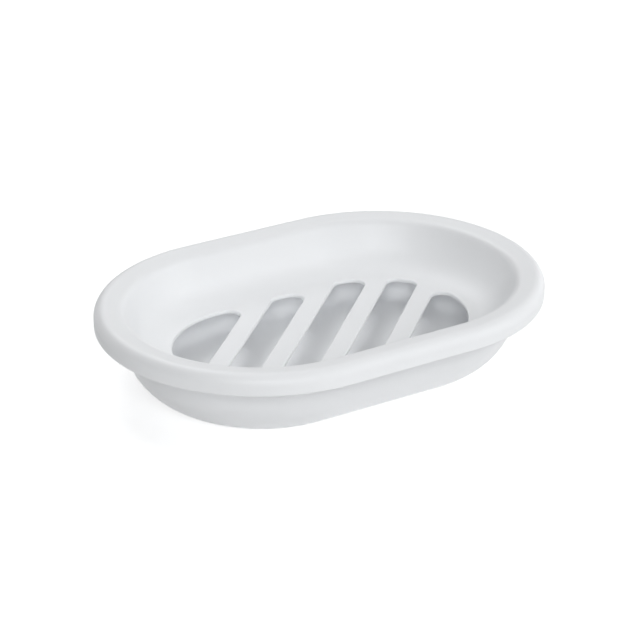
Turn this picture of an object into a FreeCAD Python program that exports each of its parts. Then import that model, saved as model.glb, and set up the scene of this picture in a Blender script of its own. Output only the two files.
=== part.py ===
import FreeCAD, Part
import math
import os
from dataclasses import dataclass

# A two-piece soap dish: a slotted tray hangs by its brim on the top edge of a drip dish.
# Millimetres, +Z up. The origin lies on the standing surface under the middle of the dish.
# The long axis is X. Both pieces follow one plan: two half circles joined by straight sides.
# A section is drawn in inset and height. Inset is measured inward from the brim's outer edge.

# Plan of the brim's outer edge
end_radius = 45.0
straight_length = 37.5

# Tray
total_height = 23.8
tray_wall = 1.3
brim_width = 7.7
brim_thickness = 1.7
brim_fall_angle = 8.0
brim_outer_round = 2.8
brim_inner_round = 2.8
lip_depth = 5.6
lip_edge_round = 0.55
well_depth = 13.0
well_wall_tilt = 26.0
well_round = 10.0
tray_floor = 1.2

# Drain slots in the tray's floor, between slanting ribs
rib_pitch = 14.2
rib_width = 5.6
rib_angle = 44.0
slot_margin = 0.2
slot_corner_round = 3.2
slot_edge_round = 0.45

# Seat: the under side of the brim rests on the dish's rim
nest_clearance = 0.4
seat_round = 0.6

# Drip dish
dish_wall = 1.3
rim_edge_round = 0.4
flare_round = 6.0
waist_height = 15.2
belly_dip = 1.3
basin_round = 7.5
dish_floor = 1.6
foot_round = 4.0
foot_width = 3.4
foot_relief = 0.6

# How far each cutting solid runs past the faces that it cuts
overrun = 2.0


@dataclass(frozen=True)
class Spot:
    """A point of a section."""

    inset: float
    height: float


@dataclass(frozen=True)
class Corner:
    """A corner of a section's outline and the radius that rounds it."""

    spot: Spot
    radius: float = 0.0


@dataclass(frozen=True)
class Slope:
    """A straight line of a section that runs inward on its way down, by an angle from the vertical."""

    spot: Spot
    tilt: float

    def inset_at(self, height):
        """Inset of the line at a height."""
        return self.spot.inset + (self.spot.height - height) * math.tan(math.radians(self.tilt))

    def height_at(self, inset):
        """Height of the line at an inset."""
        return self.spot.height - (inset - self.spot.inset) / math.tan(math.radians(self.tilt))

    def at(self, height):
        """Point of the line at a height."""
        return Spot(self.inset_at(height), height)

    def outward(self, distance):
        """The parallel line at a distance toward the outside."""
        shift = distance / math.cos(math.radians(self.tilt))
        return Slope(Spot(self.spot.inset - shift, self.spot.height), self.tilt)


def rounded_face(corners):
    """Face of a half section, on the near side of the plane X = 0, from the corners of its outline."""
    places = [FreeCAD.Vector(0, c.spot.inset - end_radius, c.spot.height) for c in corners]
    arcs = []
    for index, corner in enumerate(corners):
        here = places[index]
        back = (places[index - 1] - here).normalize()
        ahead = (places[(index + 1) % len(places)] - here).normalize()
        half_angle = back.getAngle(ahead) / 2
        run = corner.radius / math.tan(half_angle)
        depth = corner.radius / math.sin(half_angle) - corner.radius
        arcs.append((here + back * run, here + (back + ahead).normalize() * depth, here + ahead * run))
    edges = []
    for index, corner in enumerate(corners):
        start, end = arcs[index - 1][-1], arcs[index][0]
        if not start.isEqual(end, Part.Precision.confusion()):
            edges.append(Part.makeLine(start, end))
        if corner.radius:
            edges.append(Part.Arc(*arcs[index]).toShape())
    return Part.Face(Part.Wire(edges))


def carried_round(section):
    """Solid that a half section, which ends at the middle line, makes when it is carried round the plan."""
    middle = FreeCAD.Vector(0, 0, 0)
    up = FreeCAD.Vector(0, 0, 1)
    along = FreeCAD.Vector(straight_length, 0, 0)
    near_side = section.translated(along / -2).extrude(along)
    right_end = section.translated(along / 2).revolve(along / 2, up, 180)
    far_side = near_side.rotated(middle, up, 180)
    left_end = right_end.rotated(middle, up, 180)
    return near_side.multiFuse([right_end, far_side, left_end]).removeSplitter().Solids[0]


def plan_prism(inset, low, high):
    """Upright solid between two heights whose outline is the plan's, moved in by an inset."""
    spots = [Spot(inset, low), Spot(end_radius, low), Spot(end_radius, high), Spot(inset, high)]
    return carried_round(rounded_face([Corner(spot) for spot in spots]))


# Heights
brim_under = total_height - brim_thickness
lip_bottom = total_height - lip_depth
well_floor = total_height - well_depth
tray_under = well_floor - tray_floor
basin_floor = foot_relief + dish_floor

# The brim's top falls inward from a crest at the total height
brim_fall = math.radians(brim_fall_angle)
brim_corner_rise = brim_outer_round * (1 / math.cos(brim_fall) + math.tan(brim_fall) - 1)
brim_outer_corner = Spot(0, total_height + brim_corner_rise)
brim_inner_corner = Spot(brim_width, brim_outer_corner.height - brim_width * math.tan(brim_fall))

# The tray's wall, and behind it the dish's flared wall, slope alike
well_slope = Slope(brim_inner_corner, well_wall_tilt)
tray_back_slope = well_slope.outward(tray_wall)
flare_inner_slope = tray_back_slope.outward(nest_clearance)
flare_outer_slope = flare_inner_slope.outward(dish_wall)

# Both faces of the tray's floor are flat inside this inset
round_run_share = math.tan(math.radians(90 - well_wall_tilt) / 2)
flat_inset = well_slope.inset_at(well_floor) + well_round * round_run_share
back_round = (flat_inset - tray_back_slope.inset_at(tray_under)) / round_run_share

# At the waist the dish's wall stands upright: the flare's rounding ends and the belly's begins.
# The belly's circle would dip below the standing surface; the foot's rounding cuts it short.
outer_flare_foot = waist_height + flare_round * math.tan(math.radians(well_wall_tilt) / 2)
dish_outer_inset = flare_outer_slope.inset_at(outer_flare_foot)
dish_inner_inset = dish_outer_inset + dish_wall
inner_flare_foot = flare_inner_slope.height_at(dish_inner_inset)
belly_round = waist_height + belly_dip


def belly_corners(inset, radius, floor, floor_radius):
    """The two corners by which a wall, upright at the waist, rounds into a floor with no straight part."""
    between = radius - floor_radius
    tilt = math.asin((waist_height - floor - floor_radius) / between)
    wall_corner = Spot(inset, waist_height - radius * math.tan(tilt / 2))
    floor_corner = Slope(wall_corner, math.degrees(tilt)).at(floor)
    return Corner(wall_corner, radius), Corner(floor_corner, floor_radius)


def tray_body():
    """The tray before its slots are cut: brim, lip, wall and floor."""
    outline = [
        Corner(Spot(end_radius, well_floor)),
        Corner(well_slope.at(well_floor), well_round),
        Corner(brim_inner_corner, brim_inner_round),
        Corner(brim_outer_corner, brim_outer_round),
        Corner(Spot(0, lip_bottom), lip_edge_round),
        Corner(Spot(tray_wall, lip_bottom), lip_edge_round),
        Corner(Spot(tray_wall, brim_under), brim_outer_round - tray_wall),
        Corner(tray_back_slope.at(brim_under), seat_round),
        Corner(tray_back_slope.at(tray_under), back_round),
        Corner(Spot(end_radius, tray_under)),
    ]
    return carried_round(rounded_face(outline))


def drain_slots():
    """Cutting solids of the slots: the floor's flat, less each pair of ribs that leaves a slot outside."""
    low = tray_under - overrun
    high = well_floor + overrun
    field_inset = flat_inset + slot_margin + slot_edge_round
    reach = end_radius - field_inset + straight_length / 2 * math.sin(math.radians(rib_angle))
    slot_width = rib_pitch - rib_width
    rib_length = straight_length + end_radius * 2
    ribs = []
    for step in range(int((reach - slot_width / 2) / rib_pitch)):
        corner = FreeCAD.Vector(rib_length / -2, (step + 1 / 2) * rib_pitch - rib_width / 2, low)
        rib = Part.makeBox(rib_length, rib_width, high - low, corner)
        for angle in (rib_angle, rib_angle + 180):
            ribs.append(rib.rotated(FreeCAD.Vector(), FreeCAD.Vector(0, 0, 1), angle))
    slots = []
    for slot in plan_prism(field_inset, low, high).cut(ribs).Solids:
        base = min(slot.Faces, key=lambda face: face.CenterOfMass.z)
        rounded = base.makeOffset2D(-slot_corner_round).makeOffset2D(slot_corner_round)
        slots.append(rounded.extrude(FreeCAD.Vector(0, 0, high - low)))
    return slots


def hole_edges(solid, height):
    """Edges round the holes of a solid's flat face at a height."""
    for face in solid.Faces:
        level = abs(face.BoundBox.ZMax - height) + face.BoundBox.ZLength
        if level < Part.Precision.confusion() and len(face.Wires) > 1:
            rims = [wire for wire in face.Wires if not wire.isSame(face.OuterWire)]
            return [edge for wire in rims for edge in wire.Edges]
    return []


def slotted_tray():
    """The tray with its slots cut and their edges rounded above and below."""
    tray = tray_body().cut(drain_slots())
    edges = hole_edges(tray, well_floor) + hole_edges(tray, tray_under)
    return tray.makeFillet(slot_edge_round, edges).Solids[0]


def drip_dish():
    """The dish: rim, flare, bellied wall, closed floor and a foot that is hollow underneath."""
    inner_wall, basin = belly_corners(dish_inner_inset, belly_round - dish_wall, basin_floor, basin_round)
    outer_wall, foot = belly_corners(dish_outer_inset, belly_round, 0, foot_round)
    relief_inset = foot.spot.inset + foot_width
    outline = [
        Corner(Spot(end_radius, basin_floor)),
        basin,
        inner_wall,
        Corner(Spot(dish_inner_inset, inner_flare_foot), flare_round + dish_wall),
        Corner(flare_inner_slope.at(brim_under), seat_round),
        Corner(flare_outer_slope.at(brim_under), rim_edge_round),
        Corner(Spot(dish_outer_inset, outer_flare_foot), flare_round),
        outer_wall,
        foot,
        Corner(Spot(relief_inset, 0)),
        Corner(Spot(relief_inset + foot_relief, foot_relief)),
        Corner(Spot(end_radius, foot_relief)),
    ]
    return carried_round(rounded_face(outline))


pieces = {
    "slotted_tray": slotted_tray(),
    "drip_dish": drip_dish(),
}
os.makedirs("parts", exist_ok=True)
for name, piece in pieces.items():
    piece.exportStep(f"parts/{name}.step")
    box = piece.optimalBoundingBox()
    print(f"{name}: {box.XLength:.2f} x {box.YLength:.2f} x {box.ZLength:.2f} mm, {piece.Volume:.0f} mm3")
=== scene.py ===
"""Looks of a two-piece soap dish: a slotted tray that hangs by its brim in a closed drip dish."""

import logging
import math
from dataclasses import dataclass, field
from enum import Enum
from typing import Sequence

import bmesh
import bpy
from bmesh.types import BMEdge, BMesh, BMFace, BMVert
from mathutils import Matrix, Vector


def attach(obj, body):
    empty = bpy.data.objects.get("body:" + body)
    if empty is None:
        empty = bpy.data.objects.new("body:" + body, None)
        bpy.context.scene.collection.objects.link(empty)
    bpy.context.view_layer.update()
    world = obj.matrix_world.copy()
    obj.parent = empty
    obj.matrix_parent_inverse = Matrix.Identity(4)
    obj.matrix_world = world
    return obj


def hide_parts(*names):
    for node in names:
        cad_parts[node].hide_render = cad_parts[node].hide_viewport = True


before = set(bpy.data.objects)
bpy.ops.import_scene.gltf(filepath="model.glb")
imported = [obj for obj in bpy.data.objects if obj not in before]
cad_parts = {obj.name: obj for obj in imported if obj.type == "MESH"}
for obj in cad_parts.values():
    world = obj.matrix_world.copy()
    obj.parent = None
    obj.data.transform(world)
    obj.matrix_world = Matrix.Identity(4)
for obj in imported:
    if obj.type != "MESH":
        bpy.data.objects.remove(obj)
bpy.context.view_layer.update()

log = logging.getLogger("soap_dish")

MILLIMETRE = 0.001
IMAGE_WIDTH = 640
UP = Vector((0, 0, 1))
ALONG_DISH = Vector((1, 0, 0))
ACROSS_DISH = Vector((0, 1, 0))
WHITE = (1.0, 1.0, 1.0, 1.0)


@dataclass(frozen=True)
class Spot:
    """A point of a section, in millimetres: inset from the brim's outer edge, and height."""

    inset: float
    height: float


@dataclass(frozen=True)
class Corner:
    """A corner of a section's outline and the radius that rounds it."""

    spot: Spot
    radius: float


@dataclass(frozen=True)
class Slope:
    """A straight line of a section that runs inward on its way down, by an angle from the vertical."""

    spot: Spot
    tilt: float

    def inset_at(self, height: float) -> float:
        """Inset of the line at a height."""
        return self.spot.inset + (self.spot.height - height) * math.tan(math.radians(self.tilt))

    def height_at(self, inset: float) -> float:
        """Height of the line at an inset."""
        return self.spot.height - (inset - self.spot.inset) / math.tan(math.radians(self.tilt))

    def at(self, height: float) -> Spot:
        """Point of the line at a height."""
        return Spot(self.inset_at(height), height)

    def outward(self, distance: float) -> "Slope":
        """The parallel line at a distance toward the outside."""
        shift = distance / math.cos(math.radians(self.tilt))
        return Slope(Spot(self.spot.inset - shift, self.spot.height), self.tilt)


class OutlinePen:
    """Draws a chain of straight and rounded edges by moving the vertex at its tip."""

    BEND_STEP = math.radians(6)
    LEAST_STEPS = 2
    LAND = 0.06
    LEAST_RUN = 4 * LAND
    NOTHING = 1e-5

    def __init__(self, mesh: BMesh, start: Vector, axis: Vector) -> None:
        """Sets the pen down.

        Args:
            mesh: The mesh that is drawn in.
            start: Where the chain begins.
            axis: The axis that every bend turns about.
        """
        self.mesh = mesh
        self.axis = axis
        self.tip: BMVert = bmesh.ops.create_vert(mesh, co=start)["vert"][0]

    def _step(self, shift: Vector) -> None:
        """Draws one edge."""
        self.tip = bmesh.ops.extrude_vert_indiv(self.mesh, verts=[self.tip])["verts"][0]
        bmesh.ops.translate(self.mesh, verts=[self.tip], vec=shift)

    def line_to(self, end: Vector) -> None:
        """Draws a straight line, with a short land at each end that keeps the flat between them flat.

        Args:
            end: Where the line ends.
        """
        run = end - self.tip.co
        if run.length < self.NOTHING:
            return
        if run.length < self.LEAST_RUN:
            self._step(run)
            return
        land = run.normalized() * self.LAND
        for shift in (land, run - 2 * land, land):
            self._step(shift)

    def bend(self, centre: Vector, angle: float) -> None:
        """Draws an arc.

        Args:
            centre: The arc's centre.
            angle: How far the tip turns about it, in radians.
        """
        if abs(angle) < self.NOTHING:
            return
        steps = max(self.LEAST_STEPS, math.ceil(abs(angle) / self.BEND_STEP))
        turned = bmesh.ops.spin(
            self.mesh, geom=[self.tip], cent=centre, axis=self.axis, angle=angle, steps=steps,
            use_merge=False)
        self.tip = next(item for item in turned["geom_last"] if isinstance(item, BMVert))

    def round_corner(self, corner: Vector, radius: float, onward: Vector) -> None:
        """Draws up to a corner and round it.

        Args:
            corner: The corner's point.
            radius: The radius that rounds it.
            onward: The next corner's point.
        """
        back = (self.tip.co - corner).normalized()
        ahead = (onward - corner).normalized()
        half = back.angle(ahead) / 2
        centre = corner + (back + ahead).normalized() * (radius / math.sin(half))
        self.line_to(corner + back * (radius / math.tan(half)))
        side = (-back).cross(ahead).dot(self.axis)
        self.bend(centre, math.copysign(math.pi - 2 * half, side))


@dataclass(frozen=True)
class Plan:
    """The outline that both pieces follow, in millimetres: two half circles joined by straight sides."""

    end_radius: float = 45.0
    straight_length: float = 37.5
    end_steps: int = 72
    weld: float = 0.002

    def place(self, spot: Spot) -> Vector:
        """Point of a section where the near straight side meets the right end."""
        return Vector((self.straight_length / 2, spot.inset - self.end_radius, spot.height))

    def draw(self, mesh: BMesh, start: Spot, corners: Sequence[Corner], end: Spot) -> None:
        """Draws a section as a chain of edges.

        Args:
            mesh: The empty mesh that is drawn in.
            start: Where the section begins.
            corners: Its corners in order.
            end: Where it ends.
        """
        pen = OutlinePen(mesh, self.place(start), ALONG_DISH)
        onward = [self.place(corner.spot) for corner in corners[1:]] + [self.place(end)]
        for corner, target in zip(corners, onward):
            pen.round_corner(self.place(corner.spot), corner.radius, target)
        pen.line_to(self.place(end))

    def carry_round(self, mesh: BMesh) -> None:
        """Carries the chain that a mesh holds once round the plan and welds the seam.

        Args:
            mesh: The mesh with the chain.
        """
        edge: list = mesh.verts[:] + mesh.edges[:]
        for side in (1, -1):
            centre = ALONG_DISH * (side * self.straight_length / 2)
            turned = bmesh.ops.spin(
                mesh, geom=edge, cent=centre, axis=UP, angle=math.pi, steps=self.end_steps, use_merge=False)
            moved = bmesh.ops.spin(
                mesh, geom=turned["geom_last"], cent=centre, axis=UP, angle=0, steps=1, use_merge=False,
                dvec=ALONG_DISH * (-side * self.straight_length))
            edge = moved["geom_last"]
        bmesh.ops.remove_doubles(mesh, verts=mesh.verts[:], dist=self.weld)


@dataclass(frozen=True)
class SlotField:
    """The field of a floor that slanting ribs divide into slots, in millimetres."""

    plan: Plan
    radius: float
    angle: float = math.radians(44)
    pitch: float = 14.2
    width: float = 8.6
    corner_round: float = 3.2
    edge_round: float = 0.45
    edge_steps: int = 5
    reach_each_way: int = 2

    @property
    def along(self) -> Vector:
        """Direction in which the slots run."""
        return Vector((math.cos(self.angle), math.sin(self.angle), 0))

    @property
    def across(self) -> Vector:
        """Direction from slot to slot."""
        return Vector((-math.sin(self.angle), math.cos(self.angle), 0))

    def spine(self, point: Vector) -> Vector:
        """Nearest point to another on the plan's middle line."""
        half = self.plan.straight_length / 2
        return Vector((max(-half, min(half, point.x)), 0, 0))

    def _leave(self, offset: float, radius: float, way: int) -> Vector:
        """Where a line along the slots leaves the plan's outline.

        Args:
            offset: The line's place across the slots.
            radius: Radius of the outline's ends.
            way: 1 or -1, the way along the line.

        Returns:
            The point on the outline.
        """
        half = self.plan.straight_length / 2
        ahead = self.along * way
        foot = self.across * offset
        runs = []
        for end in (ALONG_DISH * half, ALONG_DISH * -half):
            to_end = end - foot
            spare = radius ** 2 - to_end.length_squared + to_end.dot(ahead) ** 2
            if spare > 0:
                runs.append(to_end.dot(ahead) + math.sqrt(spare))
        to_side = (radius * math.copysign(1, ahead.y) - foot.y) / ahead.y
        if abs((foot + ahead * to_side).x) <= half:
            runs.append(to_side)
        return foot + ahead * max(runs)

    def _sweep(self, pen: OutlinePen, centre: Vector, start: Vector, end: Vector) -> None:
        """Bends the pen about a centre from one outward direction to the next.

        Args:
            pen: The pen.
            centre: The arc's centre.
            start: Direction from the centre to the arc's start.
            end: Direction from the centre to its end.
        """
        pen.bend(centre, math.atan2(start.cross(end).z, start.dot(end)))

    def _end(self, pen: OutlinePen, first: Vector, last: Vector, way: int, finish: Vector) -> None:
        """Draws the part of a slot's outline that follows the field's, with the two rounded corners.

        Args:
            pen: The pen.
            first: Centre of the rounding of the corner that comes first.
            last: Centre of the other corner's rounding.
            way: 1 for the end on the far side of the dish, -1 for the near one.
            finish: Direction from the last centre to the last rounding's end.
        """
        spines = [self.spine(first), self.spine(last)]
        outward = [(first - spines[0]).normalized(), (last - spines[1]).normalized()]
        self._sweep(pen, first, -self.across * way, outward[0])
        if spines[0] == spines[1]:
            self._sweep(pen, spines[0], *outward)
        else:
            level = ACROSS_DISH * way
            self._sweep(pen, spines[0], outward[0], level)
            pen.line_to(pen.tip.co + spines[1] - spines[0])
            self._sweep(pen, spines[1], level, outward[1])
        self._sweep(pen, last, outward[1], finish)

    def outline(self, mesh: BMesh, step: int, margin: float) -> BMFace:
        """Draws a slot's outline and fills it. The outermost slot has a rib on one side only.

        Args:
            mesh: The mesh that is drawn in.
            step: The slot's number, counted from the one in the middle.
            margin: How far outside the slot's wall the outline runs.

        Returns:
            The filled face, at height 0.
        """
        rounding = self.corner_round + margin
        reach = self.width / 2 + margin - rounding
        sides = (step * self.pitch - reach, step * self.pitch + reach)
        within = self.radius + margin - rounding
        to_side = self.across * rounding
        before = set(mesh.edges)
        near, far = (self._leave(sides[0], within, way) for way in (-1, 1))
        pen = OutlinePen(mesh, near - to_side, UP)
        first = pen.tip
        pen.line_to(far - to_side)
        if step < self.reach_each_way:
            next_near, next_far = (self._leave(sides[1], within, way) for way in (-1, 1))
            self._end(pen, far, next_far, 1, to_side)
            pen.line_to(next_near + to_side)
            self._end(pen, next_near, near, -1, -to_side)
        else:
            self._end(pen, far, near, 1, -to_side)
        bmesh.ops.weld_verts(mesh, targetmap={pen.tip: first})
        ring = [edge for edge in mesh.edges if edge not in before]
        return bmesh.ops.edgeloop_fill(mesh, edges=ring)["faces"][0]

    def cut_collar(self, mesh: BMesh, step: int, depth: float) -> None:
        """Makes the upper half of a slot's wall: a land, a rounded edge and a drop to mid-floor.

        Args:
            mesh: The mesh that the half wall is added to, hanging from height 0.
            step: The slot's number, counted from the one in the middle.
            depth: How far the half wall drops.
        """
        face = self.outline(mesh, step, self.edge_round + OutlinePen.LAND)
        if face.normal.z < 0:
            bmesh.ops.reverse_faces(mesh, faces=[face])
        turns = [math.pi / 2 * number / self.edge_steps for number in range(self.edge_steps + 1)]
        rings = [(OutlinePen.LAND, 0.0)]
        for before, after in zip(turns, turns[1:]):
            inward = self.edge_round * (math.sin(after) - math.sin(before))
            drop = self.edge_round * (math.cos(before) - math.cos(after))
            rings.append((inward, drop))
        for inward, drop in rings:
            bmesh.ops.inset_region(
                mesh, faces=[face], thickness=inward, depth=-drop, use_boundary=True, use_even_offset=True)
        wall = bmesh.ops.extrude_face_region(mesh, geom=[face])["geom"]
        bmesh.ops.delete(mesh, geom=[face], context="FACES_ONLY")
        lowest = [item for item in wall if isinstance(item, BMVert)]
        base = [item for item in wall if isinstance(item, BMFace)]
        bmesh.ops.translate(mesh, verts=lowest, vec=UP * (self.edge_round - depth))
        bmesh.ops.delete(mesh, geom=base, context="FACES_ONLY")


class Texture(Enum):
    """How the mould's face was finished, by the roughness that it leaves."""

    SATIN = 0.46
    FINE = 0.4


@dataclass(frozen=True)
class MouldedGrain:
    """Shared effect: the fine grain and the slow waviness that a mould leaves in plastic."""

    name: str = "moulded_grain"
    grain_detail: float = 2.0
    grain_share: float = 0.35
    flow_detail: float = 3.0
    flow_distortion: float = 0.6

    def group(self) -> bpy.types.NodeTree:
        """Makes the node group, or finds it.

        Returns:
            The group, with a Vector and two scales in, and a Height and a Mottle out.
        """
        if self.name in bpy.data.node_groups:
            return bpy.data.node_groups[self.name]
        tree = bpy.data.node_groups.new(self.name, "ShaderNodeTree")
        tree.interface.new_socket("Vector", in_out="INPUT", socket_type="NodeSocketVector")
        for socket in ("Grain Scale", "Flow Scale"):
            tree.interface.new_socket(socket, in_out="INPUT", socket_type="NodeSocketFloat")
        for socket in ("Height", "Mottle"):
            tree.interface.new_socket(socket, in_out="OUTPUT", socket_type="NodeSocketFloat")
        inputs = tree.nodes.new("NodeGroupInput")
        outputs = tree.nodes.new("NodeGroupOutput")
        grain = tree.nodes.new("ShaderNodeTexNoise")
        grain.inputs["Detail"].default_value = self.grain_detail
        flow = tree.nodes.new("ShaderNodeTexNoise")
        flow.inputs["Detail"].default_value = self.flow_detail
        flow.inputs["Distortion"].default_value = self.flow_distortion
        blend = tree.nodes.new("ShaderNodeMath")
        blend.operation = "MULTIPLY_ADD"
        blend.inputs[1].default_value = self.grain_share
        link = tree.links.new
        for texture, scale in ((grain, "Grain Scale"), (flow, "Flow Scale")):
            link(inputs.outputs["Vector"], texture.inputs["Vector"])
            link(inputs.outputs[scale], texture.inputs["Scale"])
        link(grain.outputs["Fac"], blend.inputs[0])
        link(flow.outputs["Fac"], blend.inputs[2])
        link(blend.outputs["Value"], outputs.inputs["Height"])
        link(flow.outputs["Fac"], outputs.inputs["Mottle"])
        return tree


@dataclass(frozen=True)
class WhitePlastic:
    """Cool white moulded plastic with a satin skin."""

    name: str
    texture: Texture
    colour: tuple[float, float, float] = (0.917, 0.922, 0.929)
    shade: tuple[float, float, float] = (0.900, 0.905, 0.913)
    grain_scale: float = 2600.0
    flow_scale: float = 45.0
    relief: float = 0.00002
    roughness_spread: float = 0.06
    refraction: float = 1.49

    def material(self) -> bpy.types.Material:
        """Makes the material.

        Returns:
            The material, read from Object coordinates.
        """
        made = bpy.data.materials.new(self.name)
        made.use_nodes = True
        nodes, link = made.node_tree.nodes, made.node_tree.links.new
        shader = nodes["Principled BSDF"]
        shader.inputs["IOR"].default_value = self.refraction
        place = nodes.new("ShaderNodeTexCoord")
        grain = nodes.new("ShaderNodeGroup")
        grain.node_tree = MouldedGrain().group()
        grain.inputs["Grain Scale"].default_value = self.grain_scale
        grain.inputs["Flow Scale"].default_value = self.flow_scale
        link(place.outputs["Object"], grain.inputs["Vector"])
        tint = nodes.new("ShaderNodeMix")
        tint.data_type = "RGBA"
        tint.inputs["A"].default_value = (*self.shade, 1)
        tint.inputs["B"].default_value = (*self.colour, 1)
        link(grain.outputs["Mottle"], tint.inputs["Factor"])
        link(tint.outputs["Result"], shader.inputs["Base Color"])
        gloss = nodes.new("ShaderNodeMapRange")
        gloss.inputs["To Min"].default_value = self.texture.value - self.roughness_spread
        gloss.inputs["To Max"].default_value = self.texture.value + self.roughness_spread
        link(grain.outputs["Mottle"], gloss.inputs["Value"])
        link(gloss.outputs["Result"], shader.inputs["Roughness"])
        bump = nodes.new("ShaderNodeBump")
        bump.inputs["Distance"].default_value = self.relief
        link(grain.outputs["Height"], bump.inputs["Height"])
        link(bump.outputs["Normal"], shader.inputs["Normal"])
        return made


@dataclass
class Walls:
    """Sizes of the walls where the tray hangs in the dish, in millimetres."""

    plan: Plan = field(default_factory=Plan)
    total_height: float = 23.8
    brim_width: float = 7.7
    brim_thickness: float = 1.7
    brim_fall: float = math.radians(8)
    brim_round: float = 2.8
    tray_wall: float = 1.3
    well_tilt: float = 26.0
    clearance: float = 0.4
    dish_wall: float = 1.3
    seat_round: float = 0.6

    @property
    def brim_under(self) -> float:
        """Height of the seat, where the brim rests on the dish's rim."""
        return self.total_height - self.brim_thickness

    @property
    def brim_outer_corner(self) -> Spot:
        """Corner where the brim's top and the lip would meet."""
        rise = self.brim_round * (1 / math.cos(self.brim_fall) + math.tan(self.brim_fall) - 1)
        return Spot(0, self.total_height + rise)

    @property
    def brim_inner_corner(self) -> Spot:
        """Corner where the brim's top and the well's wall would meet."""
        fall = self.brim_width * math.tan(self.brim_fall)
        return Spot(self.brim_width, self.brim_outer_corner.height - fall)

    @property
    def well_slope(self) -> Slope:
        """Line of the well's wall."""
        return Slope(self.brim_inner_corner, self.well_tilt)

    @property
    def tray_back_slope(self) -> Slope:
        """Line of the tray's back."""
        return self.well_slope.outward(self.tray_wall)

    @property
    def flare_inner_slope(self) -> Slope:
        """Line of the dish's flare, inside."""
        return self.tray_back_slope.outward(self.clearance)

    @property
    def flare_outer_slope(self) -> Slope:
        """Line of the dish's flare, outside."""
        return self.flare_inner_slope.outward(self.dish_wall)


@dataclass
class Moulding:
    """A piece moulded in one shot: a mesh drawn in millimetres that stands for a node of the frame."""

    walls: Walls
    finish: WhitePlastic
    name: str
    node: str
    body: str

    def mesh(self) -> BMesh:
        """Builds the piece's mesh, in millimetres."""
        raise NotImplementedError

    def build(self) -> bpy.types.Object:
        """Builds the piece and puts it on its body.

        Returns:
            The piece's object, not yet dressed.
        """
        mesh = self.mesh()
        bmesh.ops.recalc_face_normals(mesh, faces=mesh.faces[:])
        bmesh.ops.scale(mesh, verts=mesh.verts[:], vec=Vector((MILLIMETRE,) * 3))
        for face in mesh.faces:
            face.smooth = True
        data = bpy.data.meshes.new(self.name)
        mesh.to_mesh(data)
        mesh.free()
        piece = bpy.data.objects.new(self.name, data)
        bpy.context.scene.collection.objects.link(piece)
        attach(piece, self.body)
        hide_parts(self.node)
        return piece

    def dress(self, piece: bpy.types.Object) -> None:
        """Gives the piece its plastic.

        Args:
            piece: The piece's object.
        """
        piece.data.materials.append(self.finish.material())


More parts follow.
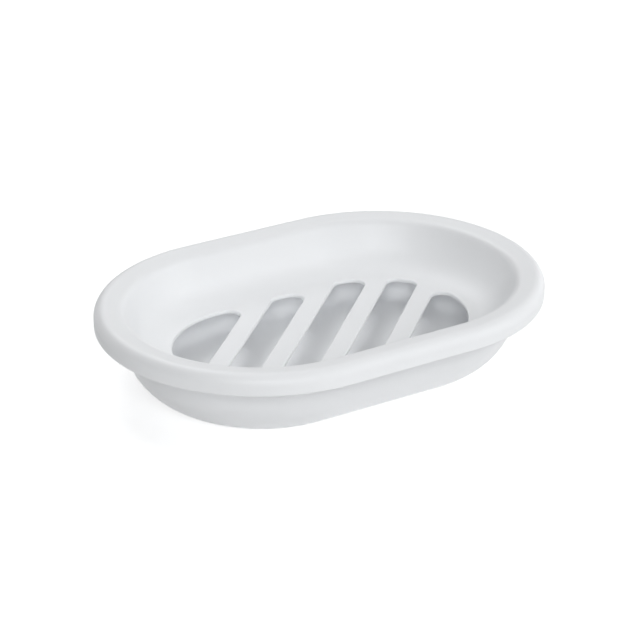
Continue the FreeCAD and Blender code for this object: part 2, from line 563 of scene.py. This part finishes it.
@dataclass
class SlottedTray(Moulding):
    """The tray: a broad brim with a turned-down lip, a well and a slotted floor. Sizes in millimetres."""

    name: str = "tray_moulding"
    node: str = "slotted_tray"
    body: str = "tray"
    lip_depth: float = 5.6
    lip_edge_round: float = 0.55
    well_depth: float = 13.0
    well_round: float = 10.0
    floor: float = 1.2
    slot_margin: float = 0.2

    @property
    def well_floor(self) -> float:
        """Height of the floor's upper face."""
        return self.walls.total_height - self.well_depth

    @property
    def under(self) -> float:
        """Height of the floor's lower face."""
        return self.well_floor - self.floor

    def section(self) -> tuple[Spot, list[Corner], Spot]:
        """Works out the section from the floor's flat, up over the brim and down the back.

        Returns:
            Its start, its corners and its end.
        """
        walls = self.walls
        well, back = walls.well_slope, walls.tray_back_slope
        lip_bottom = walls.total_height - self.lip_depth
        run_share = math.tan(math.radians(90 - walls.well_tilt) / 2)
        flat_inset = well.inset_at(self.well_floor) + self.well_round * run_share
        back_round = (flat_inset - back.inset_at(self.under)) / run_share
        corners = [
            Corner(well.at(self.well_floor), self.well_round),
            Corner(walls.brim_inner_corner, walls.brim_round),
            Corner(walls.brim_outer_corner, walls.brim_round),
            Corner(Spot(0, lip_bottom), self.lip_edge_round),
            Corner(Spot(walls.tray_wall, lip_bottom), self.lip_edge_round),
            Corner(Spot(walls.tray_wall, walls.brim_under), walls.brim_round - walls.tray_wall),
            Corner(back.at(walls.brim_under), walls.seat_round),
            Corner(back.at(self.under), back_round),
        ]
        edge = flat_inset + OutlinePen.LAND
        return Spot(edge, self.well_floor), corners, Spot(edge, self.under)

    def slots(self, flat_inset: float) -> BMesh:
        """Builds the walls of all the slots.

        Args:
            flat_inset: Inset of the floor's flat.

        Returns:
            The walls, in place.
        """
        plan = self.walls.plan
        edge_round = SlotField.edge_round
        field_of_slots = SlotField(plan, plan.end_radius - flat_inset - self.slot_margin - edge_round)
        mesh = bmesh.new()
        for step in range(1, field_of_slots.reach_each_way + 1):
            field_of_slots.cut_collar(mesh, step, self.floor / 2)
        copy = bmesh.ops.duplicate(mesh, geom=mesh.verts[:] + mesh.edges[:] + mesh.faces[:])["geom"]
        half_turn = Matrix.Rotation(math.pi, 3, UP)
        bmesh.ops.rotate(mesh, verts=[item for item in copy if isinstance(item, BMVert)], matrix=half_turn)
        field_of_slots.cut_collar(mesh, 0, self.floor / 2)
        bmesh.ops.translate(mesh, verts=mesh.verts[:], vec=UP * (self.floor / 2))
        half = mesh.verts[:] + mesh.edges[:] + mesh.faces[:]
        bmesh.ops.mirror(mesh, geom=half, matrix=Matrix(), merge_dist=plan.weld, axis="Z")
        bmesh.ops.remove_doubles(mesh, verts=mesh.verts[:], dist=plan.weld)
        bmesh.ops.translate(mesh, verts=mesh.verts[:], vec=UP * (self.well_floor - self.floor / 2))
        return mesh

    def mesh(self) -> BMesh:
        """Builds the tray's mesh: the wall carried round, the slots' walls and the floor's faces."""
        start, corners, end = self.section()
        mesh = bmesh.new()
        self.walls.plan.draw(mesh, start, corners, end)
        self.walls.plan.carry_round(mesh)
        slots = self.slots(start.inset - OutlinePen.LAND)
        holder = bpy.data.meshes.new("slot_walls")
        slots.to_mesh(holder)
        slots.free()
        mesh.from_mesh(holder)
        bpy.data.meshes.remove(holder)
        for height in (self.well_floor, self.under):
            rims = [edge for edge in mesh.edges if edge.is_boundary and self._level(edge, height)]
            bmesh.ops.triangle_fill(mesh, use_beauty=True, edges=rims)
        return mesh

    def _level(self, edge: BMEdge, height: float) -> bool:
        """Whether an edge lies at a height."""
        return all(abs(vert.co.z - height) < self.walls.plan.weld for vert in edge.verts)


@dataclass
class DripDish(Moulding):
    """The dish: a rim, a flare, a bellied wall, a closed floor and a hollow foot. Sizes in millimetres."""

    name: str = "dish_moulding"
    node: str = "drip_dish"
    body: str = "dish"
    rim_edge_round: float = 0.4
    flare_round: float = 6.0
    waist_height: float = 15.2
    belly_dip: float = 1.3
    basin_round: float = 7.5
    floor: float = 1.6
    foot_round: float = 4.0
    foot_width: float = 3.4
    foot_relief: float = 0.6
    relief_round: float = 0.3

    def belly(
        self, inset: float, radius: float, floor: float, floor_radius: float
    ) -> tuple[Corner, Corner]:
        """Works out how a wall, upright at the waist, rounds into a floor with no straight part.

        Args:
            inset: The wall's inset at the waist.
            radius: The wall's rounding.
            floor: The floor's height.
            floor_radius: The rounding into the floor.

        Returns:
            The wall's corner and the floor's corner.
        """
        tilt = math.asin((self.waist_height - floor - floor_radius) / (radius - floor_radius))
        wall_corner = Spot(inset, self.waist_height - radius * math.tan(tilt / 2))
        floor_corner = Slope(wall_corner, math.degrees(tilt)).at(floor)
        return Corner(wall_corner, radius), Corner(floor_corner, floor_radius)

    def mesh(self) -> BMesh:
        """Builds the dish's mesh: its section, from mid-basin to the middle underneath, carried round."""
        walls = self.walls
        seat = walls.brim_under
        outer_foot = self.waist_height + self.flare_round * math.tan(math.radians(walls.well_tilt) / 2)
        outer_inset = walls.flare_outer_slope.inset_at(outer_foot)
        inner_inset = outer_inset + walls.dish_wall
        belly_round = self.waist_height + self.belly_dip
        basin_floor = self.foot_relief + self.floor
        inner_wall, basin = self.belly(
            inner_inset, belly_round - walls.dish_wall, basin_floor, self.basin_round)
        outer_wall, foot = self.belly(outer_inset, belly_round, 0, self.foot_round)
        inner_foot = walls.flare_inner_slope.height_at(inner_inset)
        relief = foot.spot.inset + self.foot_width
        corners = [
            basin,
            inner_wall,
            Corner(Spot(inner_inset, inner_foot), self.flare_round + walls.dish_wall),
            Corner(walls.flare_inner_slope.at(seat), walls.seat_round),
            Corner(walls.flare_outer_slope.at(seat), self.rim_edge_round),
            Corner(Spot(outer_inset, outer_foot), self.flare_round),
            outer_wall,
            foot,
            Corner(Spot(relief, 0), self.relief_round),
            Corner(Spot(relief + self.foot_relief, self.foot_relief), self.relief_round),
        ]
        middle = walls.plan.end_radius
        mesh = bmesh.new()
        walls.plan.draw(mesh, Spot(middle, basin_floor), corners, Spot(middle, self.foot_relief))
        walls.plan.carry_round(mesh)
        return mesh


@dataclass(frozen=True)
class Softbox:
    """A square area lamp that faces the dish, placed by its direction from it."""

    name: str
    azimuth: float
    elevation: float
    strength: float
    distance: float = 1.2
    side: float = 0.6
    colour: tuple[float, float, float] = (0.975, 0.988, 1.0)

    def build(self, target: Vector) -> None:
        """Hangs the lamp.

        Args:
            target: The point that it faces.
        """
        lamp = bpy.data.lights.new(self.name, "AREA")
        lamp.shape = "SQUARE"
        lamp.size = self.side
        lamp.energy = self.strength
        lamp.color = self.colour
        holder = bpy.data.objects.new(self.name, lamp)
        bpy.context.scene.collection.objects.link(holder)
        back = direction(self.azimuth, self.elevation)
        holder.location = target + back * self.distance
        holder.rotation_euler = back.to_track_quat("Z", "Y").to_euler()


def direction(azimuth: float, elevation: float) -> Vector:
    """Direction from the dish to a place round it.

    Args:
        azimuth: Degrees round the dish: 0 is the near side and 90 the right end.
        elevation: Degrees above the level.

    Returns:
        The unit vector.
    """
    turn, rise = math.radians(azimuth), math.radians(elevation)
    return Vector((math.sin(turn) * math.cos(rise), -math.cos(turn) * math.cos(rise), math.sin(rise)))


@dataclass
class Studio:
    """A pale floor, soft lamps, a white surround and the camera."""

    floor_side: float = 4.0
    floor_colour: tuple[float, float, float] = (0.8, 0.8, 0.8)
    floor_roughness: float = 0.9
    floor_lift: float = 0.56
    lift_spread: tuple[float, float] = (0.25, 0.9)
    ambient: float = 0.03
    bounces: int = 16
    camera_azimuth: float = -31.36
    camera_elevation: float = 25.5
    camera_distance: float = 0.6279
    focal_pixels: float = 2304.9
    sensor_width: float = 36.0
    near_clip: float = 0.01
    target: Vector = field(default_factory=lambda: Vector((0, 0, 0.013)))
    image_offset: tuple[float, float] = (2.4, 2.0)
    lamps: tuple[Softbox, ...] = (
        Softbox("over_camera", -31, 29, 6.8),
        Softbox("side_right", 46, 33, 4.5),
        Softbox("low_side", 60, 10, 1.5),
        Softbox("low_right", 105, 8, 1.8),
        Softbox("back", 172, 46, 4.4),
        Softbox("top", 180, 75, 1.8),
    )

    def build(self) -> None:
        """Builds the floor, the surround, the lamps and the camera."""
        self.build_floor()
        self.build_surround()
        bpy.context.scene.cycles.max_bounces = self.bounces
        bpy.context.scene.cycles.diffuse_bounces = self.bounces
        for lamp in self.lamps:
            lamp.build(self.target)
        self.build_camera()

    def build_floor(self) -> None:
        """Lays the floor, which keeps the dish's shadow and turns white away from it."""
        mesh = bmesh.new()
        bmesh.ops.create_grid(mesh, x_segments=1, y_segments=1, size=self.floor_side / 2)
        data = bpy.data.meshes.new("studio_floor")
        mesh.to_mesh(data)
        mesh.free()
        made = bpy.data.materials.new("studio_floor")
        made.use_nodes = True
        nodes, link = made.node_tree.nodes, made.node_tree.links.new
        shader = nodes["Principled BSDF"]
        shader.inputs["Base Color"].default_value = (*self.floor_colour, 1)
        shader.inputs["Roughness"].default_value = self.floor_roughness
        shader.inputs["Emission Color"].default_value = WHITE
        place = nodes.new("ShaderNodeTexCoord")
        away = nodes.new("ShaderNodeVectorMath")
        away.operation = "LENGTH"
        spread = nodes.new("ShaderNodeMapRange")
        for end, distance in zip(("From Min", "From Max"), self.lift_spread):
            spread.inputs[end].default_value = distance
        spread.inputs["To Min"].default_value = self.floor_lift
        lift = nodes.new("ShaderNodeMath")
        lift.operation = "MULTIPLY"
        link(place.outputs["Object"], away.inputs[0])
        link(away.outputs["Value"], spread.inputs["Value"])
        link(self.seen_rays(made.node_tree), lift.inputs[0])
        link(spread.outputs["Result"], lift.inputs[1])
        link(lift.outputs["Value"], shader.inputs["Emission Strength"])
        data.materials.append(made)
        floor = bpy.data.objects.new("studio_floor", data)
        bpy.context.scene.collection.objects.link(floor)

    def seen_rays(self, tree: bpy.types.NodeTree) -> bpy.types.NodeSocket:
        """Tells the rays by which a thing is seen, directly, mirrored or through another.

        Args:
            tree: The material's or the surround's nodes.

        Returns:
            A value that is 1 for such a ray and 0 for any other.
        """
        rays = tree.nodes.new("ShaderNodeLightPath")
        seen = rays.outputs["Is Camera Ray"]
        for kind in ("Is Glossy Ray", "Is Transmission Ray"):
            either = tree.nodes.new("ShaderNodeMath")
            either.operation = "MAXIMUM"
            tree.links.new(seen, either.inputs[0])
            tree.links.new(rays.outputs[kind], either.inputs[1])
            seen = either.outputs["Value"]
        return seen

    def build_surround(self) -> None:
        """Makes the surround: white where it is seen, and an even fill elsewhere."""
        world = bpy.data.worlds.new("studio_surround")
        world.use_nodes = True
        nodes, link = world.node_tree.nodes, world.node_tree.links.new
        surround = nodes["Background"]
        surround.inputs["Color"].default_value = WHITE
        strength = nodes.new("ShaderNodeMapRange")
        strength.inputs["To Min"].default_value = self.ambient
        strength.inputs["To Max"].default_value = 1.0
        link(self.seen_rays(world.node_tree), strength.inputs["Value"])
        link(strength.outputs["Result"], surround.inputs["Strength"])
        bpy.context.scene.world = world

    def build_camera(self) -> None:
        """Sets the camera up at the photograph's angle."""
        back = direction(self.camera_azimuth, self.camera_elevation)
        right = UP.cross(back).normalized()
        pixel = self.camera_distance / self.focal_pixels
        across, down = self.image_offset
        aim = self.target - right * (across * pixel) + back.cross(right) * (down * pixel)
        lens = bpy.data.cameras.new("camera")
        lens.sensor_width = self.sensor_width
        lens.lens = lens.sensor_width * self.focal_pixels / IMAGE_WIDTH
        lens.clip_start = self.near_clip
        camera = bpy.data.objects.new("camera", lens)
        camera.location = aim + back * self.camera_distance
        camera.rotation_euler = back.to_track_quat("Z", "Y").to_euler()
        bpy.context.scene.collection.objects.link(camera)
        bpy.context.scene.camera = camera


def main() -> None:
    """Builds the dish, the tray and the studio, and reports each piece."""
    logging.basicConfig(level=logging.INFO, format="%(name)s: %(message)s")
    bpy.context.scene.view_settings.view_transform = "Standard"
    walls = Walls()
    mouldings = (
        DripDish(walls, WhitePlastic("dish_plastic", Texture.FINE)),
        SlottedTray(walls, WhitePlastic("tray_plastic", Texture.SATIN)),
    )
    for moulding in mouldings:
        piece = moulding.build()
        moulding.dress(piece)
        log.info("%s stands for %s, %d faces", piece.name, moulding.node, len(piece.data.polygons))
    Studio().build()


if __name__ == "__main__":
    main()
